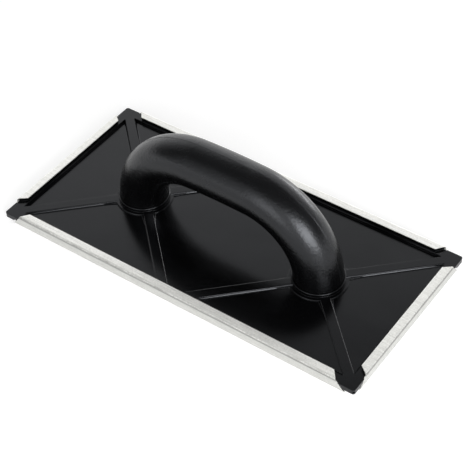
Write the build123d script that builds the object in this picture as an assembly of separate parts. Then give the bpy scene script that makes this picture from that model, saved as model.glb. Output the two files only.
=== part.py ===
from build123d import *
import os
from math import asin, atan2, cos, degrees, radians, sin, sqrt

# A hand sanding block for rigid foam and plaster.  A black plastic back plate lies in a shallow
# galvanised pan, whose sides are folded up and in over the plate's rim and whose flat bottom is
# punched into a rasp.  A hollow bow handle in two halves is screwed to the plate from below.
# Millimetres.  +X runs along the block, +Z is up, z = 0 is the plane of the rasp's tips, and the
# origin lies under the middle of the block.

# ---------------------------------------------------------------- block and pan
block_length = 270.0
block_width = 130.0
sheet = 0.6               # thickness of the pan's metal
pan_height = 8.6          # from the bottom face of the sheet to the top of the folded lip
lip_width = 5.8           # the lip that is folded in over the rim
bend_radius = 1.3         # outside radius of every fold
tooth_height = 0.8        # how far the punched burrs stand below the sheet
tooth_base = 4.6          # width of a burr where it leaves the sheet
tooth_tip = 3.4           # width of a burr at its cutting edge
tooth_hole = 2.8          # width of the punched hole
tooth_pitch_x = 20.0
tooth_pitch_y = 11.0
tooth_margin = 14.0       # bare border of the rasp

# ---------------------------------------------------------------- open corners of the pan
window = 12.8             # open length of each side at a corner, at the top of the fold
window_foot = 7.0         # the same at the bottom of the fold
window_lip = 17.4         # the same at the inner edge of the mitred lip
fit_gap = 0.15            # gap between plate and pan

# ---------------------------------------------------------------- back plate
panel_thickness = 3.9
rib_height = 1.5          # above the panel; the ears and the rim's ledge lie at the same level
rib_width = 6.6
rib_round = 0.5
gusset_length = 10.0      # the low gussets beside a rib's foot
gusset_width = 1.2
gusset_drop = 0.8         # their top below the rib's top
rim_reveal = 1.6          # ledge of the rim that shows inside the lip
undercut = 0.3            # how far the wall that carries the lip lies under the lip
rim_wall = 1.7            # wall left round the coring groove
corner_radius = 1.6       # upright edge of a corner ear
ear_height = 3.4          # height of an ear's outer walls
ear_gap = 0.3             # gap between an ear and the pan's wall beside it
ear_notch = 2.0           # this gap widens by so much at the foot of the ear
notch_depth = 2.5
peg_hole = 1.5            # small blind hole in the nose of each corner ear
peg_depth = 1.6
peg_drop = 1.8            # its centre below the top of the ear

# ---------------------------------------------------------------- handle
handle_spacing = 137.4    # between the centres of the two feet
handle_radius = 16.1      # half the thickness of the grip
handle_wall = 2.4
handle_bend = 49.0        # centre-line radius of each shoulder
handle_crown = 515.0      # centre-line radius of the slightly arched top
seam_groove = 0.35
pin_angle = 45.0          # place of the side pins on the shoulders
pin_radius = 2.0          # pins that hold the two halves together
pin_reach = 5.0
pin_wall = 1.4
pin_gap = 0.1
seat_drop = 0.8           # how far the seat of a foot lies below the panel
socket_depth = 4.3        # depth of the socket round the foot
socket_wall = 1.0
leg_length = 2.9          # straight stretch of each leg above its seat
pad_radius = 19.5
pad_height = 1.0
edge_bevel = 0.3

# ---------------------------------------------------------------- handle screws
screw_offset = 8.0        # from the seam plane
screw_shank = 3.4
screw_length = 16.0
screw_head = 6.6
screw_head_height = 1.9
screw_recess = 3.6        # across the cross recess
screw_slot = 0.9          # width of the cross recess
screw_end_gap = 1.0       # left in the pilot hole beyond the screw's end
screw_clearance = 0.2
boss_radius = 3.5
boss_web = 2.0
boss_cap = 1.0            # closed end of a boss beyond its pilot hole
pilot_gap = 0.05

# ---------------------------------------------------------------- levels and places worked out
half_length = block_length / 2
half_width = block_width / 2
pan_bottom = tooth_height
plate_bottom = pan_bottom + sheet
panel_top = plate_bottom + panel_thickness
rib_top = panel_top + rib_height
lip_top = pan_bottom + pan_height
lip_under = lip_top - sheet
wall_top = lip_top - bend_radius
window_slope = (window - window_foot) / (wall_top - pan_bottom)
seat_level = panel_top - seat_drop
bend_start = seat_level + leg_length
foot_x = handle_spacing / 2
rib_angle = degrees(atan2(half_width, half_length - foot_x))
socket_radius = handle_radius + fit_gap
ear_bottom = rib_top - ear_height
rim_inner_x = half_length - lip_width - rim_reveal
rim_inner_y = half_width - lip_width - rim_reveal
wall_inner = sheet + fit_gap


def prism(points, bottom, top):
    """Upright prism over a closed outline in plan."""
    face = make_face(Polyline(*points, close=True))
    return extrude(Pos(0, 0, bottom) * face, amount=top - bottom)


def corners():
    """Sign pairs of the four corners."""
    return [(sx, sy) for sx in (-1, 1) for sy in (-1, 1)]


def sides():
    """The four sides: outward half size, half length of the side, and turn about Z."""
    return [
        (half_length, half_width, 0),
        (half_width, half_length, 90),
        (half_length, half_width, 180),
        (half_width, half_length, 270),
    ]


# ---------------------------------------------------------------- the galvanised pan
def fold_profile(out):
    """Section of one folded side, the outer face at x = out, drawn in the XZ plane."""
    run = out - bend_radius - 2
    outer = FilletPolyline(
        (run, pan_bottom), (out, pan_bottom), (out, lip_top), (out - lip_width, lip_top),
        radius=bend_radius,
    )
    inner = FilletPolyline(
        (out - lip_width, lip_under), (out - sheet, lip_under),
        (out - sheet, plate_bottom), (run, plate_bottom),
        radius=bend_radius - sheet,
    )
    edge = Line(outer @ 1, inner @ 0)
    root = Line(inner @ 1, outer @ 0)
    return Plane.XZ * make_face([outer, edge, inner, root])


def lip_mitre(out, half, gap, bottom):
    """Upright prism that takes away the mitred end of a lip or of what carries it."""
    lean = (window_lip - window) / lip_width
    plan = [
        (out + 1, half - window - gap + lean),
        (out + 1, half + 1),
        (out - window_lip, half + 1),
        (out - window_lip, half - window - gap - lean * window_lip),
    ]
    return prism(plan, bottom, lip_top + 1)


def window_at(level):
    """Open length of a side at a corner, at one height of its folded wall."""
    return window_foot + window_slope * (level - pan_bottom)


def wall_end(out, half, gap):
    """Prism beyond the slanted end of a folded wall, kept the gap away from it."""
    low = pan_bottom - 1
    outline = [
        (half - window_at(low) + gap, low), (half + 1, low),
        (half + 1, wall_top), (half - window + gap, wall_top),
    ]
    return extrude(Plane.YZ * make_face(Polyline(*outline, close=True)), amount=out + 2)


def folded_side(out, half):
    """One side of the pan, folded up and in, its wall slanted and its lip mitred at both ends."""
    side = extrude(fold_profile(out), amount=half - window_foot, both=True)
    ends = [wall_end(out, half, 0), lip_mitre(out, half, 0, wall_top)]
    return side.cut(*ends, *[mirror(end, about=Plane.XZ) for end in ends])


def burr(x, y):
    """One punched burr: a tapering square collar that stands out below the sheet."""
    outline = Plane.XY.offset(-pan_bottom) * Rot(0, 0, 45) * Rectangle(tooth_base, tooth_base)
    taper = degrees(atan2((tooth_base - tooth_tip) / 2, tooth_height))
    collar = extrude(outline.face(), amount=tooth_height, taper=taper)
    return Pos(x, y, 0) * mirror(collar, about=Plane.XY)


def punch(x, y):
    """The hole through the sheet and the burr."""
    hole = Pos(x, y, -1) * Rot(0, 0, 45) * Rectangle(tooth_hole, tooth_hole)
    return extrude(hole, amount=plate_bottom + 2)


def tooth_places():
    """Staggered rows of burrs inside the bare border."""
    rows = int((block_width / 2 - tooth_margin) / tooth_pitch_y)
    places = []
    for row in range(-rows, rows + 1):
        shift = 0 if row % 2 == 0 else tooth_pitch_x / 2
        count = int((half_length - tooth_margin - shift) / tooth_pitch_x)
        low = -count if shift == 0 else -count - 1
        for column in range(low, count + 1):
            places.append((column * tooth_pitch_x + shift, row * tooth_pitch_y))
    return places


def make_pan():
    inset = bend_radius + 1
    long_end = half_length - inset
    wide_end = half_width - inset
    bottom = prism(
        [
            (long_end, -half_width + window_foot), (long_end, half_width - window_foot),
            (half_length - window_foot, wide_end), (-half_length + window_foot, wide_end),
            (-long_end, half_width - window_foot), (-long_end, -half_width + window_foot),
            (-half_length + window_foot, -wide_end), (half_length - window_foot, -wide_end),
        ],
        pan_bottom, plate_bottom,
    )
    folds = [Rot(0, 0, turn) * folded_side(out, half) for out, half, turn in sides()]
    pan = bottom.fuse(*folds)
    places = tooth_places()
    pan = pan.fuse(*[burr(x, y) for x, y in places])
    return pan.cut(*[punch(x, y) for x, y in places])


# ---------------------------------------------------------------- the plastic back plate
def rounded_block(length, width, bottom, top, radius):
    return extrude(Pos(0, 0, bottom) * RectangleRounded(length, width, radius), amount=top - bottom)


def lip_bearer(out, half):
    """The upper wall of the rim, which carries the folded lip between two ears."""
    inner = out - lip_width + undercut
    outer = out - wall_inner
    bar = Pos((inner + outer) / 2, 0, (rib_top + lip_under) / 2) * Box(
        outer - inner, 2 * (half - window), lip_under - rib_top
    )
    bar = chamfer(bar.edges().group_by(Axis.Z)[-1].sort_by(Axis.X)[-1], bend_radius - sheet)
    mitre = lip_mitre(out, half, fit_gap, rib_top)
    return bar - mitre - mirror(mitre, about=Plane.XZ)


def side_recess(out, half):
    """The recess in the plate's side that takes a folded wall, slanted beside the ears."""
    face_x = out - wall_inner
    heel = bend_radius - sheet
    low = plate_bottom - 1
    profile = Polyline(
        (out + 1, low), (out + 1, lip_top), (face_x, lip_top), (face_x, plate_bottom + heel),
        (face_x - heel, plate_bottom), (face_x - heel, low), close=True,
    )
    recess = extrude(Plane.XZ * make_face(profile), amount=half, both=True)
    end = wall_end(out, half, ear_gap)
    return recess.cut(end, mirror(end, about=Plane.XZ))


def ear_notches(out, half):
    """The two wedge-shaped notches that part the ears' sides from a folded wall."""
    top = rib_top - rib_height / 2
    foot = half - window_at(ear_bottom)
    outline = [
        (half - window_at(top), top), (foot, ear_bottom), (foot, ear_bottom - 1),
        (foot + ear_notch, ear_bottom - 1), (foot + ear_notch, ear_bottom),
    ]
    wedge = extrude(Plane.YZ * make_face(Polyline(*outline, close=True)), amount=notch_depth + 1)
    wedge = Pos(out - notch_depth, 0, 0) * wedge
    return [wedge, mirror(wedge, about=Plane.XZ)]


def ear_relief(sx, sy):
    """The open space under the ear at one corner, beyond the cut corner of the pan's floor."""
    reach = (window_foot + bend_radius + 1) / sqrt(2)
    space = Rot(0, 0, 45) * Rectangle(2 * reach, 2 * reach)
    place = Pos(sx * half_length, sy * half_width, plate_bottom - 1)
    return place * extrude(space, amount=ear_bottom - plate_bottom + 1)


def rib_turn(sx, sy, outward):
    """Direction of a rib in plan: from a foot to its corner, or inwards to the long rim."""
    return degrees(atan2(sy * sin(radians(rib_angle)), sx * outward * cos(radians(rib_angle))))


def rib(sx, sy, outward):
    """A low rib with rounded edges."""
    bottom = panel_top - rib_height
    reach = (rim_inner_y + rib_width / 2) / sin(radians(rib_angle))
    section = Pos(0, (bottom + rib_top) / 2) * Rectangle(rib_width, rib_top - bottom)
    section = fillet(section.vertices().group_by(Axis.Y)[-1], rib_round)
    body = extrude(Plane.YZ * section, amount=reach)
    return Pos(sx * foot_x, 0, 0) * Rot(0, 0, rib_turn(sx, sy, outward)) * body


def rib_gusset(sx, sy, outward):
    """The low wedge that widens the foot of a rib on both sides."""
    tip = pad_radius + gusset_length
    half = rib_width / 2
    wedge = prism(
        [(socket_radius, half + gusset_width), (socket_radius, -half - gusset_width),
         (pad_radius, -half - gusset_width), (tip, -half), (tip, half),
         (pad_radius, half + gusset_width)],
        panel_top - rib_height, rib_top - gusset_drop,
    )
    return Pos(sx * foot_x, 0, 0) * Rot(0, 0, rib_turn(sx, sy, outward)) * wedge


def foot_seat(sx):
    """The pad and the socket wall round one foot of the handle."""
    pad = extrude(Pos(0, 0, seat_level) * Circle(pad_radius), amount=panel_top + pad_height - seat_level)
    pad = chamfer(pad.edges().group_by(Axis.Z)[-1], edge_bevel)
    ring = extrude(Pos(0, 0, seat_level) * Circle(socket_radius + socket_wall), amount=socket_depth)
    ring = chamfer(ring.edges().group_by(Axis.Z)[-1], edge_bevel)
    return Pos(sx * foot_x, 0, 0) * (pad + ring)


def socket_bore(sx):
    return Pos(sx * foot_x, 0, seat_level) * extrude(Circle(socket_radius), amount=pan_height)


def peg_bore(sx, sy):
    """Small blind hole in the rounded nose of a corner ear."""
    nose = corner_radius * (1 - 1 / sqrt(2))
    bore = extrude(Plane.YZ * Circle(peg_hole / 2), amount=2 * peg_depth, both=True)
    turn = degrees(atan2(sy, sx))
    x = sx * (half_length - fit_gap - nose)
    y = sy * (half_width - fit_gap - nose)
    return Pos(x, y, rib_top - peg_drop) * Rot(0, 0, turn) * Pos(peg_depth, 0, 0) * bore


def screw_places():
    return [(sx * foot_x, sy * screw_offset) for sx, sy in corners()]


def screw_bore(x, y):
    """Counterbore from below with the hole for the shank."""
    head = extrude(
        Pos(x, y, plate_bottom - 1) * Circle(screw_head / 2 + screw_clearance),
        amount=1 + screw_head_height + screw_clearance,
    )
    shank = extrude(
        Pos(x, y, plate_bottom) * Circle(screw_shank / 2 + screw_clearance), amount=rib_height + 5
    )
    return head + shank


def make_plate():
    length = block_length - 2 * fit_gap
    width = block_width - 2 * fit_gap
    body = rounded_block(length, width, plate_bottom, rib_top, corner_radius)
    tray = rounded_block(2 * rim_inner_x, 2 * rim_inner_y, panel_top, rib_top + 1, corner_radius)
    recesses = [Rot(0, 0, turn) * side_recess(out, half) for out, half, turn in sides()]
    reliefs = [ear_relief(sx, sy) for sx, sy in corners()]
    body = body.cut(tray, *recesses, *reliefs)
    groove_out = wall_inner + rim_wall
    groove_in = lip_width + rim_reveal - rim_wall
    outer = rounded_block(
        block_length - 2 * groove_out, block_width - 2 * groove_out,
        plate_bottom - 1, rib_top - rim_wall, corner_radius,
    )
    inner = rounded_block(
        block_length - 2 * groove_in, block_width - 2 * groove_in,
        plate_bottom - 2, rib_top, corner_radius,
    )
    bearers = [Rot(0, 0, turn) * lip_bearer(out, half) for out, half, turn in sides()]
    ribs = [rib(sx, sy, outward) for sx, sy in corners() for outward in (-1, 1)]
    ribs += [rib_gusset(sx, sy, outward) for sx, sy in corners() for outward in (-1, 1)]
    seats = [foot_seat(sx) for sx in (-1, 1)]
    body = body.fuse(*bearers, *ribs, *seats)
    bores = [socket_bore(sx) for sx in (-1, 1)]
    bores += [screw_bore(x, y) for x, y in screw_places()]
    bores += [peg_bore(sx, sy) for sx, sy in corners()]
    for out, half, turn in sides():
        bores += [Rot(0, 0, turn) * wedge for wedge in ear_notches(out, half)]
    return body.cut(outer - inner, *bores)


# ---------------------------------------------------------------- the bow handle
def bow(section):
    """Carries a flat section from the seat of one foot over the crown to the other foot.

    The section is drawn in the XY plane about the centre of the right foot, +X outwards.
    """
    shoulder_x = foot_x - handle_bend
    tilt = asin(shoulder_x / (handle_crown - handle_bend))
    turn = 90 - degrees(tilt)
    crown_z = bend_start - (handle_crown - handle_bend) * cos(tilt)
    shoulder_axis = Axis((shoulder_x, 0, bend_start), (0, -1, 0))
    crown_axis = Axis((0, 0, crown_z), (0, -1, 0))
    foot = Pos(foot_x, 0, seat_level) * section
    root = Pos(foot_x, 0, bend_start) * section
    leg = extrude(foot, amount=bend_start - seat_level)
    shoulder = revolve(root, axis=shoulder_axis, revolution_arc=turn)
    top = root.rotate(shoulder_axis, turn)
    crown = revolve(top, axis=crown_axis, revolution_arc=degrees(tilt))
    half = leg + shoulder + crown
    return half + mirror(half, about=Plane.YZ)


def half_disc(radius, side):
    """Half of a round section on one side of the seam, with its seam edges bevelled."""
    disc = Circle(radius) & Pos(0, side * radius) * Rectangle(2 * radius, 2 * radius)
    notch = Rot(0, 0, 45) * Rectangle(seam_groove * sqrt(2), seam_groove * sqrt(2))
    return disc - Pos(radius, 0) * notch - Pos(-radius, 0) * notch


def pin_spots():
    """Centre-line points of the pins that hold the halves together along the bow."""
    shoulder_x = foot_x - handle_bend
    reach = handle_bend * cos(radians(pin_angle))
    rise = handle_bend * sin(radians(pin_angle))
    crown = bend_start + handle_bend
    return [
        (shoulder_x + reach, bend_start + rise), (0, crown),
        (-shoulder_x - reach, bend_start + rise),
    ]


def across(x, z, radius, low, high):
    """A round bar along Y at one point of the centre line."""
    bar = Cylinder(radius, high - low, align=(Align.CENTER, Align.CENTER, Align.MIN))
    return Pos(x, low, z) * Rot(-90, 0, 0) * bar


def screw_boss(sx, side):
    """The boss for one screw, tied to the shell by a web."""
    height = screw_length + boss_cap
    boss = extrude(Pos(0, screw_offset, 0) * Circle(boss_radius), amount=height)
    web = Pos(0, (screw_offset + handle_radius) / 2, height / 2) * Box(
        boss_web, handle_radius - screw_offset, height
    )
    boss = boss + web
    if side < 0:
        boss = mirror(boss, about=Plane.XZ)
    return Pos(sx * foot_x, 0, seat_level) * boss


def screw_pilot(sx, side):
    pilot = extrude(Circle(screw_shank / 2 + pilot_gap), amount=screw_length)
    return Pos(sx * foot_x, side * screw_offset, seat_level - boss_cap) * pilot


def handle_half(side):
    """One moulded half: a half shell with screw bosses, and pins (front) or sockets (rear)."""
    inside = Circle(handle_radius - handle_wall)
    shell = half_disc(handle_radius, side) - inside
    shell = bow(shell)
    solid = bow(half_disc(handle_radius - handle_wall / 2, side))
    bosses = [screw_boss(sx, side) & solid for sx in (-1, 1)]
    outer_radius = pin_radius if side < 0 else pin_radius + pin_wall
    inner_end = pin_reach if side < 0 else 0
    for x, z in pin_spots():
        if side < 0:
            bosses.append(across(x, z, outer_radius + pin_wall, -handle_radius, 0) & solid)
            bosses.append(across(x, z, outer_radius, -handle_wall, inner_end))
        else:
            bosses.append(across(x, z, outer_radius, inner_end, handle_radius) & solid)
    shell = shell.fuse(*bosses)
    holes = [screw_pilot(sx, side) for sx in (-1, 1)]
    if side > 0:
        holes += [across(x, z, pin_radius + pin_gap, -1, pin_reach + pin_gap) for x, z in pin_spots()]
    return shell.cut(*holes)


# ---------------------------------------------------------------- screws
def screw(x, y):
    """A screw driven up from below: its head in the counterbore, its shank in the boss."""
    under_head = plate_bottom + screw_head_height + screw_clearance
    head_bottom = under_head - screw_head_height
    head = extrude(Pos(0, 0, head_bottom) * Circle(screw_head / 2), amount=screw_head_height)
    head = chamfer(head.edges().group_by(Axis.Z)[0], screw_head_height / 3)
    reach = seat_level - boss_cap + screw_length - screw_end_gap
    shank = extrude(Pos(0, 0, under_head) * Circle(screw_shank / 2), amount=reach - under_head)
    slot = Box(screw_recess, screw_slot, screw_head_height)
    cross = Pos(0, 0, head_bottom) * (slot + Rot(0, 0, 90) * slot)
    return Pos(x, y, 0) * (head + shank - cross)


parts = {
    "rasp_pan": make_pan(),
    "back_plate": make_plate(),
    "handle_front_half": handle_half(-1),
    "handle_rear_half": handle_half(1),
    "handle_screws": Compound(children=[screw(x, y) for x, y in screw_places()]),
}

os.makedirs("parts", exist_ok=True)
for name, shape in parts.items():
    export_step(shape, f"parts/{name}.step")
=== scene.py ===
"""Looks for the hand sanding block: plastics, galvanised sheet, torn burrs, studio and camera."""
import math
import random

import bmesh
import bpy
from mathutils import Matrix, Vector


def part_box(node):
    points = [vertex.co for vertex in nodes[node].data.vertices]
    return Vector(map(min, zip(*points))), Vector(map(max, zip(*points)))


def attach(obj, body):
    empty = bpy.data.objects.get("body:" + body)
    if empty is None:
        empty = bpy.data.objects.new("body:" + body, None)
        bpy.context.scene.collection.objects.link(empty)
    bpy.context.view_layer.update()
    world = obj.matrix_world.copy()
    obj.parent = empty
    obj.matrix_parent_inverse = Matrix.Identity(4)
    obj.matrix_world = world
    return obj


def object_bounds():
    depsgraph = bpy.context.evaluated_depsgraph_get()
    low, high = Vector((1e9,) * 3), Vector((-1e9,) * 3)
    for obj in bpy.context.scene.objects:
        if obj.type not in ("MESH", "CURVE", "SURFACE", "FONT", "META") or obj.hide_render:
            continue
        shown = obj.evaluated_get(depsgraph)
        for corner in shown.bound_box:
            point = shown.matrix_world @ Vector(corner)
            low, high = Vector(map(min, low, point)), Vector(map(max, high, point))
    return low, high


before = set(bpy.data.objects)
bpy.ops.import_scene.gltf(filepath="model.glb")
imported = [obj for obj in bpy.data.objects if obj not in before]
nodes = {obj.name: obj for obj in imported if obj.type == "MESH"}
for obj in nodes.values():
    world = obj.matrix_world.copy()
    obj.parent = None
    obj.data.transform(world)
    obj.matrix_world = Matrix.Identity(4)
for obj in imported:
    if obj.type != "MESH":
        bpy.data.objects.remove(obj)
cad_low, cad_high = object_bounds()
MM = 0.001
BEVEL_SAMPLES = 8

# ---------------------------------------------------------------- shader helpers


def new_material(name):
    material = bpy.data.materials.new(name)
    material.use_nodes = True
    tree = material.node_tree
    return material, tree, tree.nodes["Principled BSDF"]


def object_coordinates(tree, stretch=(1, 1, 1)):
    place = tree.nodes.new("ShaderNodeTexCoord")
    mapping = tree.nodes.new("ShaderNodeMapping")
    mapping.inputs["Scale"].default_value = stretch
    tree.links.new(place.outputs["Object"], mapping.inputs["Vector"])
    return mapping.outputs["Vector"]


def noise(tree, where, size, detail=3, roughness=0.5):
    """Noise whose features are about `size` metres across."""
    node = tree.nodes.new("ShaderNodeTexNoise")
    node.inputs["Scale"].default_value = 1 / size
    node.inputs["Detail"].default_value = detail
    node.inputs["Roughness"].default_value = roughness
    tree.links.new(where, node.inputs["Vector"])
    return node.outputs["Fac"]


def ramp(tree, factor, stops, interpolation="LINEAR"):
    """Factor turned into a colour, by a list of (position, colour)."""
    node = tree.nodes.new("ShaderNodeValToRGB")
    node.color_ramp.interpolation = interpolation
    while len(node.color_ramp.elements) < len(stops):
        node.color_ramp.elements.new(0.5)
    for element, (position, colour) in zip(node.color_ramp.elements, stops):
        element.position = position
        element.color = (*colour, 1)
    tree.links.new(factor, node.inputs["Fac"])
    return node.outputs["Color"]


def spread(tree, factor, low, high):
    """Factor 0..1 mapped on low..high."""
    node = tree.nodes.new("ShaderNodeMapRange")
    node.inputs["To Min"].default_value = low
    node.inputs["To Max"].default_value = high
    tree.links.new(factor, node.inputs["Value"])
    return node.outputs["Result"]


def bump(tree, height, depth, normal):
    """The normal, roughened by a height that is `depth` metres from its lowest to its highest."""
    node = tree.nodes.new("ShaderNodeBump")
    node.inputs["Distance"].default_value = depth
    tree.links.new(height, node.inputs["Height"])
    tree.links.new(normal, node.inputs["Normal"])
    return node.outputs["Normal"]


def combine(tree, operation, first, second):
    """One sum on two sockets or numbers."""
    node = tree.nodes.new("ShaderNodeMath")
    node.operation = operation
    for slot, value in enumerate((first, second)):
        if isinstance(value, (int, float)):
            node.inputs[slot].default_value = value
        else:
            tree.links.new(value, node.inputs[slot])
    return node.outputs[0]


def soft_edges(tree, radius):
    """Normal that rounds the hard edges of a moulding or a sheet by a small radius."""
    node = tree.nodes.new("ShaderNodeBevel")
    node.samples = BEVEL_SAMPLES
    node.inputs["Radius"].default_value = radius
    return node.outputs["Normal"]


# ---------------------------------------------------------------- materials
PLASTIC_DARK = (0.0003, 0.0003, 0.0004)
PLASTIC_LIGHT = (0.0009, 0.0009, 0.0011)
HANDLE_LIGHT = (0.0009, 0.0009, 0.0010)
PLASTIC_TINT = (0.91, 0.94, 1.0, 1)     # of its reflections
CLOUD_SIZE = 18 * MM                    # slow changes of the plastic's colour
SMEAR_SIZE = 9 * MM                     # marks of handling, in its gloss
SMEAR_STRETCH = (1, 3, 1)
WAVE_SIZE = 35 * MM                     # slight sinking of a thick moulding
WAVE_DEPTH = 0.15 * MM

SHEET_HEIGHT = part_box("rasp_pan")[1][2]
SHEET_PAINTED_SHADE = [                         # (share of the sheet's height, tone); these tones are painted shade
    (0.0, 0.66), (0.72, 0.66),          # the walls, darkened with painted shade against the white floor they mirror
    (0.80, 0.55), (0.87, 0.26), (0.945, 0.44),      # painted shade along the fold, darkest at its middle
    (0.978, 0.98), (1.0, 1.0),          # the lips
]
SHEET_BLUE = 0.965                      # blue for each part of red and green
SHEET_RAGGED = 0.12                     # how far the grain shifts the borders of the tones
SHEET_METALLIC = 0.7
SHEET_GRAIN = 1.2 * MM
STREAK_SIZE = 0.7 * MM
STREAK_STRETCH = (0.06, 1, 1)           # long along the block
SPECKLE_DARK = (0.74, 0.74, 0.73)
SPECKLE_LIGHT = (1.0, 1.0, 1.0)
ZINC_GRAIN = 1.2 * MM
ZINC_DARK = (0.55, 0.56, 0.56)
ZINC_LIGHT = (0.72, 0.72, 0.70)


def moulded_plastic(name, light, gloss, roughness, grain, grain_depth, edge):
    """Black plastic with the fine spark texture of its mould and faint handling marks."""
    material, tree, shader = new_material(name)
    where = object_coordinates(tree)
    clouds = noise(tree, where, CLOUD_SIZE, detail=4)
    colour = ramp(tree, clouds, [(0.35, PLASTIC_DARK), (0.65, light)])
    tree.links.new(colour, shader.inputs["Base Color"])
    shader.inputs["Specular IOR Level"].default_value = gloss
    shader.inputs["Specular Tint"].default_value = PLASTIC_TINT
    smears = noise(tree, object_coordinates(tree, SMEAR_STRETCH), SMEAR_SIZE, detail=5)
    tree.links.new(spread(tree, smears, *roughness), shader.inputs["Roughness"])
    texture = noise(tree, where, grain, detail=2, roughness=0.6)
    normal = bump(tree, texture, grain_depth, soft_edges(tree, edge))
    normal = bump(tree, noise(tree, where, WAVE_SIZE, detail=1), WAVE_DEPTH, normal)
    tree.links.new(normal, shader.inputs["Normal"])
    return material


def galvanised_sheet():
    """Zinc-coated sheet: pale lips, with painted shade on the walls and a darker band of painted
    shade along the folds.
    """
    material, tree, shader = new_material("galvanised_sheet")
    where = object_coordinates(tree)
    grain = noise(tree, where, SHEET_GRAIN, detail=4, roughness=0.7)
    along = object_coordinates(tree, STREAK_STRETCH)
    streaks = noise(tree, along, STREAK_SIZE, detail=3, roughness=0.6)
    mixed = combine(tree, "MULTIPLY", combine(tree, "ADD", grain, streaks), 0.5)
    axes = tree.nodes.new("ShaderNodeSeparateXYZ")
    tree.links.new(where, axes.inputs[0])
    height = combine(tree, "DIVIDE", axes.outputs["Z"], SHEET_HEIGHT)
    shift = combine(tree, "MULTIPLY", combine(tree, "SUBTRACT", mixed, 0.5), SHEET_RAGGED)
    # painted shade by height: darker walls, a dark band at the fold, pale lips
    stops = [(level, (tone, tone, tone * SHEET_BLUE)) for level, tone in SHEET_PAINTED_SHADE]
    blend = tree.nodes.new("ShaderNodeMix")
    blend.data_type = "RGBA"
    blend.blend_type = "MULTIPLY"
    blend.inputs["Factor"].default_value = 1.0
    tree.links.new(ramp(tree, combine(tree, "ADD", height, shift), stops), blend.inputs["A"])
    speckle = ramp(tree, mixed, [(0.35, SPECKLE_DARK), (0.62, SPECKLE_LIGHT)])
    tree.links.new(speckle, blend.inputs["B"])
    tree.links.new(blend.outputs["Result"], shader.inputs["Base Color"])
    shader.inputs["Metallic"].default_value = SHEET_METALLIC
    tree.links.new(spread(tree, mixed, 0.30, 0.44), shader.inputs["Roughness"])
    normal = bump(tree, mixed, 0.04 * MM, soft_edges(tree, 0.25 * MM))
    tree.links.new(normal, shader.inputs["Normal"])
    return material


def zinc_plate():
    """Bright zinc of the screws."""
    material, tree, shader = new_material("zinc_plate")
    mottle = noise(tree, object_coordinates(tree), ZINC_GRAIN)
    colour = ramp(tree, mottle, [(0.3, ZINC_DARK), (0.7, ZINC_LIGHT)])
    tree.links.new(colour, shader.inputs["Base Color"])
    shader.inputs["Metallic"].default_value = 1.0
    tree.links.new(spread(tree, mottle, 0.25, 0.4), shader.inputs["Roughness"])
    normal = bump(tree, mottle, 0.02 * MM, soft_edges(tree, 0.15 * MM))
    tree.links.new(normal, shader.inputs["Normal"])
    return material


def paint(obj, material):
    obj.data.materials.clear()
    obj.data.materials.append(material)


sheet_metal = galvanised_sheet()
plate_plastic = moulded_plastic(
    "plate_plastic", PLASTIC_LIGHT, gloss=0.33, roughness=(0.15, 0.23),
    grain=0.8 * MM, grain_depth=0.014 * MM, edge=0.35 * MM,
)
handle_plastic = moulded_plastic(
    "handle_plastic", HANDLE_LIGHT, gloss=0.40, roughness=(0.22, 0.31),
    grain=1.5 * MM, grain_depth=0.15 * MM, edge=0.1 * MM,
)
rib_plastic = moulded_plastic(
    "rib_plastic", PLASTIC_LIGHT, gloss=0.45, roughness=(0.20, 0.28),
    grain=0.6 * MM, grain_depth=0.004 * MM, edge=0.1 * MM,
)

paint(nodes["rasp_pan"], sheet_metal)
paint(nodes["back_plate"], plate_plastic)
paint(nodes["handle_front_half"], handle_plastic)
paint(nodes["handle_rear_half"], handle_plastic)
paint(nodes["handle_screws"], zinc_plate())

# ---------------------------------------------------------------- moulded details, in millimetres
HALF_LENGTH = cad_high[0] / MM
HALF_WIDTH = cad_high[1] / MM
FOOT_X = 68.7
PANEL_TOP = 5.3
LEDGE = 6.8                             # level of the rim's ledge, of the ribs and of the ears
RIM_INSET = 7.4                         # from the block's outline to the inner face of the rim
RIM_X = HALF_LENGTH - RIM_INSET
RIM_Y = HALF_WIDTH - RIM_INSET
RIB_HALF_WIDTH = 3.3
RIB_SLOPE = math.atan2(HALF_WIDTH, HALF_LENGTH - FOOT_X)
RIB_START = 27.0                        # from a foot's centre, beyond the widened foot of the rib
BURIED = 0.3                            # how deep a detail stands in the body that carries it
CREASE = math.radians(40)               # edges sharper than this stay crisp

FILLET = 1.2
FILLET_STEPS = 9

BEAD_HEIGHT = 0.6
BEAD_SECTION = [                        # (onto the ledge, up)
    (0.02, 0.0), (0.30, BEAD_HEIGHT), (0.42, BEAD_HEIGHT), (0.60, -BURIED), (0.05, -BURIED),
]

HANDLE_RADIUS = 16.1
HANDLE_BEND = 49.0                      # radius of the shoulders, along the middle of the bow
HANDLE_CROWN = 515.0                    # and of the crown
BEND_START = 7.4
SEAT_LEVEL = 5.0
SHOULDER_STEPS = 44
CROWN_STEPS = 4
SEAM_BEAD = 0.21                        # half width of the flash in the seam
SEAM_ROOT = 3                           # how deep it reaches, in half widths
SEAM_DEPTH = 0.13                       # how far it stays below the skin

BURR_RIM = 1.7                          # half the width of a burr at its rim
BURR_SPREAD = 0.75                      # how much wider it gets for each millimetre above the rim
BURR_PITCH_X = 20.0
BURR_PITCH_Y = 11.0
BURR_MARGIN = 14.0
TORN_SEED = 7
TORN_PLACES = (-1.15, -0.4, 0.4, 1.15)  # of the torn points along one side of a burr
TORN_SHIFT = 0.15                       # how far a point may lie from its place
TORN_HALF_WIDTH = (0.2, 0.38)
TORN_LEAN = 0.2
TORN_REACH = (0.12, 0.42)               # of its tip beyond the rim
TORN_TIP = (0.01, 0.1)                  # level of its tip, above the plane of the rims
TORN_ROOT = 0.12                        # how far inside the rim it starts
TORN_TOE = 0.04                         # lowest and highest level where it leaves the burr
TORN_HEEL = 0.5


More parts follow.
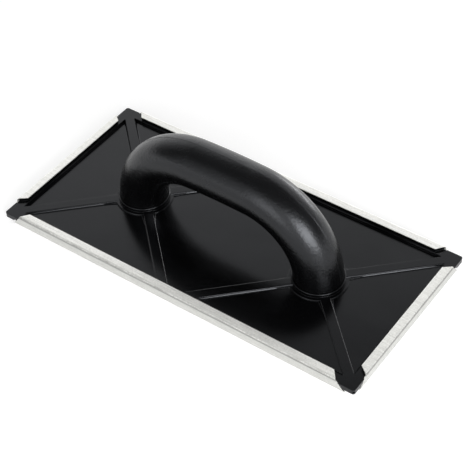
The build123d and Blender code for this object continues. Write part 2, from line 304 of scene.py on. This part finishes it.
def make_piece(name, grid, material):
    """An object from a bmesh drawn in millimetres, with creases kept sharp."""
    bmesh.ops.recalc_face_normals(grid, faces=grid.faces)
    bmesh.ops.scale(grid, vec=(MM, MM, MM), verts=grid.verts)
    mesh = bpy.data.meshes.new(name)
    grid.to_mesh(mesh)
    grid.free()
    for face in mesh.polygons:
        face.use_smooth = True
    mesh.set_sharp_from_angle(angle=CREASE)
    piece = bpy.data.objects.new(name, mesh)
    bpy.context.scene.collection.objects.link(piece)
    paint(piece, material)
    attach(piece, "root")


def sweep(grid, rings):
    """A closed solid through a list of equal rings of points."""
    rows = [[grid.verts.new(point) for point in ring] for ring in rings]
    for near, far in zip(rows, rows[1:]):
        for i in range(len(near)):
            j = (i + 1) % len(near)
            grid.faces.new((near[i], near[j], far[j], far[i]))
    grid.faces.new(rows[0])
    grid.faces.new(rows[-1])


def burr_places():
    """Staggered rows of burrs inside the bare border, as in the pan."""
    rows = int((HALF_WIDTH - BURR_MARGIN) / BURR_PITCH_Y)
    for row in range(-rows, rows + 1):
        shift = 0 if row % 2 == 0 else BURR_PITCH_X / 2
        count = int((HALF_LENGTH - BURR_MARGIN - shift) / BURR_PITCH_X)
        for column in range(-count if shift == 0 else -count - 1, count + 1):
            yield column * BURR_PITCH_X + shift, row * BURR_PITCH_Y


def torn_point(draw, place):
    """Corners of one ragged point, as (along the side, out from the burr's middle, up)."""
    t = place + draw.uniform(-TORN_SHIFT, TORN_SHIFT)
    half = draw.uniform(*TORN_HALF_WIDTH)
    root = BURR_RIM - TORN_ROOT
    lean = draw.uniform(-TORN_LEAN, TORN_LEAN)
    return [
        (t - half, root, TORN_TOE),
        (t + half, root, TORN_TOE),
        (t, root + TORN_HEEL * BURR_SPREAD, TORN_HEEL),
        (t + lean, BURR_RIM + draw.uniform(*TORN_REACH), draw.uniform(*TORN_TIP)),
    ]


def torn_rims():
    """Ragged points round the rims of the punched burrs, where the sheet tore."""
    grid = bmesh.new()
    draw = random.Random(TORN_SEED)
    for x, y in burr_places():
        middle = Vector((x, y, 0))
        for side in range(4):
            turn = math.radians(45 + 90 * side)
            out = Vector((math.cos(turn), math.sin(turn), 0))
            across = Vector((-out.y, out.x, 0))
            for place in TORN_PLACES:
                a, b, c, tip = [
                    grid.verts.new(middle + across * along + out * far + Vector((0, 0, up)))
                    for along, far, up in torn_point(draw, place)
                ]
                for face in ((a, b, c), (a, tip, b), (b, tip, c), (c, tip, a)):
                    grid.faces.new(face)
    make_piece("torn_rims", grid, sheet_metal)


def fillet_section():
    """Hollow quarter round in the corner between a wall and the panel: (away from wall, up)."""
    arc = [math.radians(90 * i / FILLET_STEPS) for i in range(FILLET_STEPS + 1)]
    hollow = [(FILLET * (1 - math.cos(a)), FILLET * (1 - math.sin(a))) for a in arc]
    return [(-BURIED, FILLET)] + hollow + [(FILLET, -BURIED), (-BURIED, -BURIED)]


def rib_fillets():
    """The hollow radius along both sides of the ribs, from near a foot into the rim."""
    grid = bmesh.new()
    for foot in (-1, 1):
        for outward in (-1, 1):
            for across in (-1, 1):
                along = Vector((
                    foot * outward * math.cos(RIB_SLOPE), across * math.sin(RIB_SLOPE), 0,
                ))
                if along.x > 0 > along.y:
                    continue            # these two ribs are crisp
                for side in (-1, 1):
                    away = side * Vector((-along.y, along.x, 0))
                    base = Vector((foot * FOOT_X, 0, PANEL_TOP)) + away * RIB_HALF_WIDTH
                    to_long_rim = (RIM_Y - across * base.y) / abs(along.y)
                    ahead = math.copysign(base.x, base.x * along.x)
                    to_short_rim = (RIM_X - ahead) / abs(along.x)
                    end = min(to_long_rim, to_short_rim) + BURIED
                    sweep(grid, [
                        [
                            base + along * t + away * out + Vector((0, 0, up))
                            for out, up in fillet_section()
                        ]
                        for t in (RIB_START, end)
                    ])
    make_piece("rib_fillets", grid, rib_plastic)


def rim_beads():
    """The small raised edge along the inside of the rim's ledge, broken where a rib runs in."""
    grid = bmesh.new()
    rib_end = RIM_Y / math.tan(RIB_SLOPE)
    long_cut = RIB_HALF_WIDTH / math.sin(RIB_SLOPE)
    short_cut = RIB_HALF_WIDTH / math.cos(RIB_SLOPE)
    inner, outer = FOOT_X - rib_end, FOOT_X + rib_end
    long_spans = [
        (long_cut - inner, inner - long_cut),
        (inner + long_cut, outer - long_cut),
        (long_cut - outer, -inner - long_cut),
    ]
    short_end = RIM_Y - short_cut
    for sign in (-1, 1):
        for span in long_spans:
            sweep(grid, [
                [Vector((x, sign * (RIM_Y + onto), LEDGE + up)) for onto, up in BEAD_SECTION]
                for x in span
            ])
        sweep(grid, [
            [Vector((sign * (RIM_X + onto), y, LEDGE + up)) for onto, up in BEAD_SECTION]
            for y in (-short_end, short_end)
        ])
    make_piece("rim_beads", grid, rib_plastic)


def seam_line(outside):
    """Points and outward normals of the seam in the XZ plane, from the right foot to the left."""
    shoulder_x = FOOT_X - HANDLE_BEND
    tilt = math.asin(shoulder_x / (HANDLE_CROWN - HANDLE_BEND))
    crown_z = BEND_START - (HANDLE_CROWN - HANDLE_BEND) * math.cos(tilt)
    reach = outside * HANDLE_RADIUS
    shoulder, crown = HANDLE_BEND + reach, HANDLE_CROWN + reach
    line = [(FOOT_X + reach, SEAT_LEVEL, 1, 0), (FOOT_X + reach, BEND_START, 1, 0)]
    for step in range(1, SHOULDER_STEPS + 1):
        a = (math.pi / 2 - tilt) * step / SHOULDER_STEPS
        nx, nz = math.cos(a), math.sin(a)
        line.append((shoulder_x + shoulder * nx, BEND_START + shoulder * nz, nx, nz))
    for step in range(1, CROWN_STEPS + 1):
        a = tilt * (1 - step / CROWN_STEPS)
        nx, nz = math.sin(a), math.cos(a)
        line.append((crown * nx, crown_z + crown * nz, nx, nz))
    return line + [(-x, z, -nx, nz) for x, z, nx, nz in reversed(line[:-1])]


def seam_beads():
    """The thin flash that fills most of the seam between the handle's halves."""
    grid = bmesh.new()
    wide = Vector((0, SEAM_BEAD, 0))
    for outside in (-1, 1):
        rings = []
        for x, z, nx, nz in seam_line(outside):
            centre = Vector((x, 0, z))
            out = outside * Vector((nx, 0, nz))
            high = centre - out * SEAM_DEPTH
            low = centre - out * SEAM_ROOT * SEAM_BEAD
            rings.append([high - wide, high + wide, low + wide, low - wide])
        sweep(grid, rings)
    make_piece("seam_beads", grid, handle_plastic)


torn_rims()
rib_fillets()
rim_beads()
seam_beads()

# ---------------------------------------------------------------- studio
FLOOR_SIZE = 6.0
FLOOR_TONE = 0.58
FLOOR_GLOW = 0.565                      # lifts the floor to white
TENT_ROOF = 0.22
TENT_WALL = 1.35                        # brightest wall, above the roof's level
TENT_WALLS = [                          # (sine of the height, share of the brightest wall)
    (0.0, 1.0), (0.3, 1.0), (0.5, 0.85), (0.66, 0.80),
    (0.71, 0.70), (0.75, 0.22), (0.8, 0.05), (1.0, 0.0),
]
TENT_AXIS = math.radians(25)            # the dim ends lie on this axis
TENT_LEFT_END = 1.08                    # how much they are dimmed
TENT_RIGHT_END = 0.95
TENT_FOCUS = 2.0                        # how closely the dimming keeps to the ends
HORIZON = 0.17                          # sine of the height up to which the tent is white all round
OVERHEAD = 1.001                        # keeps the division finite straight above


def lit_floor():
    """The floor takes the block's shadow, and is lifted to white where it is seen or mirrored."""
    material, tree, shader = new_material("studio_floor")
    tree.nodes.remove(shader)
    diffuse = tree.nodes.new("ShaderNodeBsdfDiffuse")
    diffuse.inputs["Color"].default_value = (FLOOR_TONE, FLOOR_TONE, FLOOR_TONE, 1)
    glow = tree.nodes.new("ShaderNodeEmission")
    rays = tree.nodes.new("ShaderNodeLightPath").outputs
    mirrored = combine(tree, "MAXIMUM", rays["Is Glossy Ray"], rays["Is Transmission Ray"])
    seen = combine(tree, "MAXIMUM", rays["Is Camera Ray"], mirrored)
    tree.links.new(combine(tree, "MULTIPLY", seen, FLOOR_GLOW), glow.inputs["Strength"])
    both = tree.nodes.new("ShaderNodeAddShader")
    tree.links.new(diffuse.outputs[0], both.inputs[0])
    tree.links.new(glow.outputs[0], both.inputs[1])
    tree.links.new(both.outputs[0], tree.nodes["Material Output"].inputs["Surface"])
    return material


def make_floor():
    mesh = bpy.data.meshes.new("floor")
    grid = bmesh.new()
    bmesh.ops.create_grid(grid, x_segments=2, y_segments=2, size=FLOOR_SIZE / 2)
    grid.to_mesh(mesh)
    grid.free()
    floor = bpy.data.objects.new("floor", mesh)
    bpy.context.scene.collection.objects.link(floor)
    floor.location.z = cad_low[2]
    paint(floor, lit_floor())


def make_world():
    """A light tent: even roof, bright walls, dimmer at its two ends but white near the floor."""
    world = bpy.data.worlds.new("tent")
    bpy.context.scene.world = world
    world.use_nodes = True
    tree = world.node_tree
    background = tree.nodes["Background"]
    background.inputs["Color"].default_value = (1, 1, 1, 1)
    place = tree.nodes.new("ShaderNodeTexCoord")
    axes = tree.nodes.new("ShaderNodeSeparateXYZ")
    tree.links.new(place.outputs["Generated"], axes.inputs[0])
    x, y, z = axes.outputs
    stops = [(height, (share, share, share)) for height, share in TENT_WALLS]
    walls = ramp(tree, z, stops, "B_SPLINE")
    along_x = combine(tree, "MULTIPLY", x, math.cos(TENT_AXIS))
    along_y = combine(tree, "MULTIPLY", y, math.sin(TENT_AXIS))
    along = combine(tree, "ADD", along_x, along_y)
    flat = combine(tree, "SUBTRACT", OVERHEAD, combine(tree, "MULTIPLY", z, z))
    turned = combine(tree, "DIVIDE", combine(tree, "MULTIPLY", along, along), flat)
    end = combine(tree, "POWER", turned, TENT_FOCUS)
    right = combine(tree, "GREATER_THAN", along, 0.0)
    more = combine(tree, "MULTIPLY", right, TENT_RIGHT_END - TENT_LEFT_END)
    dimming = combine(tree, "ADD", TENT_LEFT_END, more)
    dimming = combine(tree, "MULTIPLY", dimming, combine(tree, "GREATER_THAN", z, HORIZON))
    left_over = combine(tree, "SUBTRACT", 1.0, combine(tree, "MULTIPLY", end, dimming))
    wall = combine(tree, "MULTIPLY", combine(tree, "MULTIPLY", walls, TENT_WALL), left_over)
    tree.links.new(combine(tree, "ADD", TENT_ROOF, wall), background.inputs["Strength"])


def softbox(name, place, target, size, power):
    """A rectangular lamp that faces its target; size is its width and height, power in watts."""
    lamp = bpy.data.lights.new(name, "AREA")
    lamp.shape = "RECTANGLE"
    lamp.size, lamp.size_y = size
    lamp.energy = power
    holder = bpy.data.objects.new(name, lamp)
    bpy.context.scene.collection.objects.link(holder)
    holder.location = place
    holder.rotation_euler = (Vector(target) - Vector(place)).to_track_quat("-Z", "Y").to_euler()


make_floor()
make_world()
softbox(
    "key_softbox", place=(0.90, -0.53, 0.44), target=(0.04, 0, 0.03), size=(0.70, 0.56), power=10.4,
)
softbox("front_softbox", place=(0.0, -1.08, 0.36), target=(0, 0, 0.03), size=(0.5, 0.55), power=1.6)
softbox("back_softbox", place=(0.05, 1.25, 0.10), target=(0, 0, 0.05), size=(0.55, 0.28), power=2.4)

# ---------------------------------------------------------------- camera
AZIMUTH = math.radians(37.0)            # of its view, from +Y towards -X
ELEVATION = math.radians(44.63)
ROLL = math.radians(2.404)
DISTANCE = 876.3 * MM
AIM = Vector((4.2 * MM, 1.7 * MM, 6.5 * MM))
LENS = 104.4                            # millimetres, on a sensor of this width
SENSOR_WIDTH = 36.0
HALF_PIXEL = 0.5 / 470                  # of a picture 470 pixels wide


def make_camera():
    forward = Vector((
        -math.sin(AZIMUTH) * math.cos(ELEVATION),
        math.cos(AZIMUTH) * math.cos(ELEVATION),
        -math.sin(ELEVATION),
    ))
    right = Vector((math.cos(AZIMUTH), math.sin(AZIMUTH), 0))
    down = forward.cross(right)
    turned_right = right * math.cos(ROLL) + down * math.sin(ROLL)
    turned_up = right * math.sin(ROLL) - down * math.cos(ROLL)
    data = bpy.data.cameras.new("camera")
    data.lens = LENS
    data.sensor_width = SENSOR_WIDTH
    data.shift_x = -HALF_PIXEL
    data.shift_y = HALF_PIXEL
    camera = bpy.data.objects.new("camera", data)
    bpy.context.scene.collection.objects.link(camera)
    turn = Matrix((turned_right, turned_up, -forward)).transposed()
    camera.matrix_world = Matrix.Translation(AIM - forward * DISTANCE) @ turn.to_4x4()
    bpy.context.scene.camera = camera


make_camera()
bpy.context.scene.view_settings.view_transform = "Standard"
